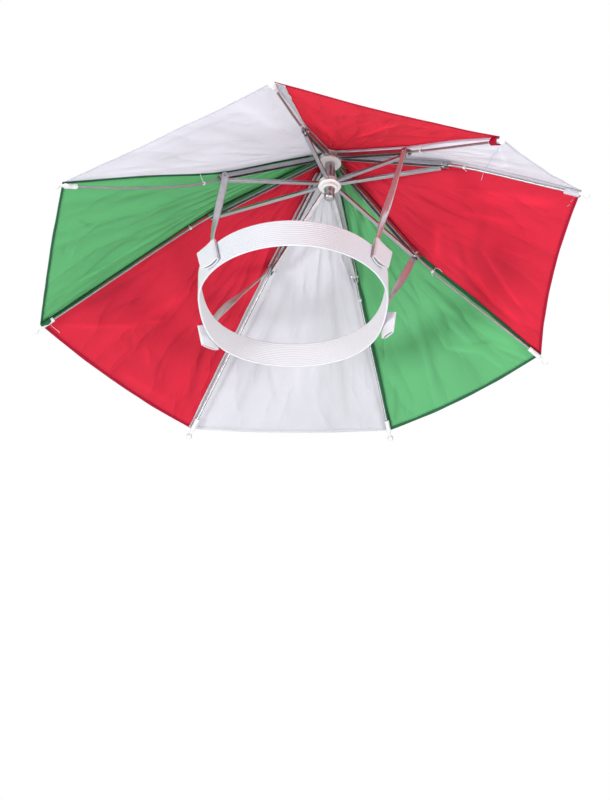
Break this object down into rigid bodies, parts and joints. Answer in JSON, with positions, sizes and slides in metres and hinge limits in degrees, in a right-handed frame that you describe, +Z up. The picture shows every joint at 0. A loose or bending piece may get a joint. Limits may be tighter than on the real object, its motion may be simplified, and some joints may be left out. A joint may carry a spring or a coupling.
{
  "type": "umbrella hat",
  "caption": "Small folding umbrella canopy of coloured cloth panels on steel ribs, carried on legs above an elastic headband.",
  "frame": {"origin": "middle of the headband's ring, where the hat sits on a head", "axes": "+Z up, -Y to the front, +X to the right as seen from the front; the headband leans 22 degrees and the canopy 36 degrees back"},
  "size_m": [0.4264, 0.3413, 0.2539],
  "materials": {
    "cloth_red": "thin woven nylon, slightly see-through, soft sheen",
    "cloth_green": "thin woven nylon, slightly see-through, soft sheen",
    "cloth_white": "thin woven nylon, slightly see-through, soft sheen",
    "rib_steel": "bent sheet steel, bright",
    "wire_steel": "drawn wire, bright",
    "leg_steel": "flat strip, bright",
    "tip_plastic": "white moulded plastic",
    "hub_plastic": "white moulded plastic",
    "elastic": "white ribbed elastic",
    "tab_cloth": "white folded cloth, stitched edges"
  },
  "bodies": {
    "root": {"panel_1_red": "cloth_red", "panel_2_white": "cloth_white", "panel_3_red": "cloth_red", "panel_4_green": "cloth_green", "panel_5_white": "cloth_white", "panel_6_red": "cloth_red", "panel_7_green": "cloth_green", "panel_8_white": "cloth_white", "inner_rib_1": "rib_steel", "inner_rib_2": "rib_steel", "inner_rib_3": "rib_steel", "inner_rib_4": "rib_steel", "inner_rib_5": "rib_steel", "inner_rib_6": "rib_steel", "inner_rib_7": "rib_steel", "inner_rib_8": "rib_steel", "outer_wire_1": "wire_steel", "outer_wire_2": "wire_steel", "outer_wire_3": "wire_steel", "outer_wire_4": "wire_steel", "outer_wire_5": "wire_steel", "outer_wire_6": "wire_steel", "outer_wire_7": "wire_steel", "outer_wire_8": "wire_steel", "stretcher_1": "rib_steel", "stretcher_2": "rib_steel", "stretcher_3": "rib_steel", "stretcher_4": "rib_steel", "stretcher_5": "rib_steel", "stretcher_6": "rib_steel", "stretcher_7": "rib_steel", "stretcher_8": "rib_steel", "tip_1": "tip_plastic", "tip_2": "tip_plastic", "tip_3": "tip_plastic", "tip_4": "tip_plastic", "tip_5": "tip_plastic", "tip_6": "tip_plastic", "tip_7": "tip_plastic", "tip_8": "tip_plastic", "leg_front_right": "leg_steel", "tab_front_right": "tab_cloth", "leg_back_right": "leg_steel", "tab_back_right": "tab_cloth", "leg_back_left": "leg_steel", "tab_back_left": "tab_cloth", "leg_front_left": "leg_steel", "tab_front_left": "tab_cloth", "headband": "elastic", "hub": "hub_plastic", "runner": "hub_plastic", "shaft": "rib_steel", "top_cap": "hub_plastic"}
  },
  "joints": []
}
